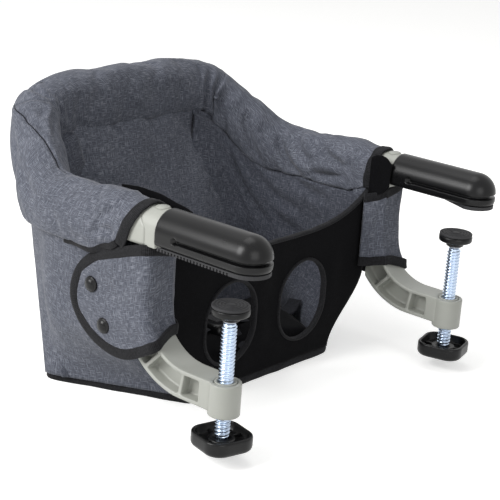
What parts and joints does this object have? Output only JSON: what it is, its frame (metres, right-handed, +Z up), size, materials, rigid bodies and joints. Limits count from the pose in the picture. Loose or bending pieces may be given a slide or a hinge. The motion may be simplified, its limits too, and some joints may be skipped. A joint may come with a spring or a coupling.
{
  "type": "clamp-on child seat",
  "caption": "Padded fabric bucket seat for a small child on a bent tube, with folding clamp arms, toothed grips, screw-driven pads, side flaps and a waist harness.",
  "frame": {"origin": "on the upper face of the board the seat is clamped to, at the board's edge, midway between the two arms", "axes": "+X to the child's left across the seat, +Y away from the board towards the seat's back, +Z up"},
  "size_m": [0.4664, 0.441, 0.3288],
  "materials": {
    "slate_cloth": "heathered linen-look weave, matt",
    "shaded_cloth": "heathered linen-look weave, matt",
    "black_cloth": "plain weave, matt",
    "binding": "grosgrain tape and webbing, matt",
    "nylon": "moulded, fine satin",
    "black_plastic": "moulded, satin",
    "pad_rubber": "moulded, matt",
    "zinc": "bright zinc plate",
    "steel": "plain drawn",
    "stiffener": "pressed board"
  },
  "bodies": {
    "seat": {"frame_tube": "steel", "back_collar": "slate_cloth", "back_panel": "shaded_cloth", "back_cushion": "slate_cloth", "front_panel": "black_cloth", "bottom_panel": "black_cloth", "hem_tape": "binding", "seat_board": "stiffener", "seat_cushion": "black_cloth", "crotch_strap": "binding", "buckle": "black_plastic", "right_tube_fitting": "nylon", "right_fitting_rivet": "steel", "right_cuff": "slate_cloth", "right_cuff_mouth": "slate_cloth", "right_cuff_tape": "binding", "right_side_panel": "shaded_cloth", "right_side_lining": "shaded_cloth", "right_neck_guard": "black_cloth", "right_flap": "shaded_cloth", "right_flap_tape": "binding", "right_upper_stud": "black_plastic", "right_lower_stud": "black_plastic", "right_waist_belt": "binding", "left_tube_fitting": "nylon", "left_fitting_rivet": "steel", "left_cuff": "slate_cloth", "left_cuff_mouth": "slate_cloth", "left_cuff_tape": "binding", "left_side_panel": "shaded_cloth", "left_side_lining": "shaded_cloth", "left_neck_guard": "black_cloth", "left_flap": "shaded_cloth", "left_flap_tape": "binding", "left_upper_stud": "black_plastic", "left_lower_stud": "black_plastic", "left_waist_belt": "binding"},
    "buckle_button": {"buckle_button": "black_plastic"},
    "right_arm": {"right_arm": "nylon", "right_fold_pin": "steel", "right_grip": "black_plastic", "right_grip_screw": "steel", "right_grip_pad": "pad_rubber", "right_screw_nut": "nylon"},
    "right_pad": {"right_pressure_pad": "black_plastic", "right_pad_facing": "pad_rubber", "right_pad_clip": "steel"},
    "right_screw": {"right_clamp_screw": "zinc", "right_knob": "black_plastic"},
    "left_arm": {"left_arm": "nylon", "left_fold_pin": "steel", "left_grip": "black_plastic", "left_grip_screw": "steel", "left_grip_pad": "pad_rubber", "left_screw_nut": "nylon"},
    "left_pad": {"left_pressure_pad": "black_plastic", "left_pad_facing": "pad_rubber", "left_pad_clip": "steel"},
    "left_screw": {"left_clamp_screw": "zinc", "left_knob": "black_plastic"}
  },
  "joints": [
    {"name": "right_arm_fold", "type": "hinge", "parent": "seat", "child": "right_arm", "pos_m": [-0.203, 0.017, 0.02], "axis": [0, 0, 1], "range_deg": [0, 75], "deforming": ["right_cuff_mouth", "right_cuff_tape", "right_flap", "right_flap_tape", "right_neck_guard"]},
    {"name": "right_screw_travel", "type": "slide", "parent": "right_arm", "child": "right_pad", "axis": [0, 0, 1], "range_m": [-0.052, 0.016]},
    {"name": "right_screw_turn", "type": "hinge", "parent": "right_pad", "child": "right_screw", "pos_m": [-0.203, -0.083, -0.1], "axis": [0, 0, 1], "range_deg": [-4700, 1460]},
    {"name": "left_arm_fold", "type": "hinge", "parent": "seat", "child": "left_arm", "pos_m": [0.203, 0.017, 0.02], "axis": [0, 0, -1], "range_deg": [0, 75], "deforming": ["left_cuff_mouth", "left_cuff_tape", "left_flap", "left_flap_tape", "left_neck_guard"]},
    {"name": "left_screw_travel", "type": "slide", "parent": "left_arm", "child": "left_pad", "axis": [0, 0, 1], "range_m": [-0.052, 0.016]},
    {"name": "left_screw_turn", "type": "hinge", "parent": "left_pad", "child": "left_screw", "pos_m": [0.203, -0.083, -0.1], "axis": [0, 0, 1], "range_deg": [-4700, 1460]},
    {"name": "buckle_release", "type": "slide", "parent": "seat", "child": "buckle_button", "axis": [0, 0, -1], "range_m": [0, 0.0025], "stiffness_N_per_m": 600, "springref_m": -0.001}
  ],
  "couplings": [
    {"joint": "right_screw_turn", "follows": "right_screw_travel", "rad_per_m": 1570.8},
    {"joint": "left_screw_turn", "follows": "left_screw_travel", "rad_per_m": 1570.8}
  ]
}
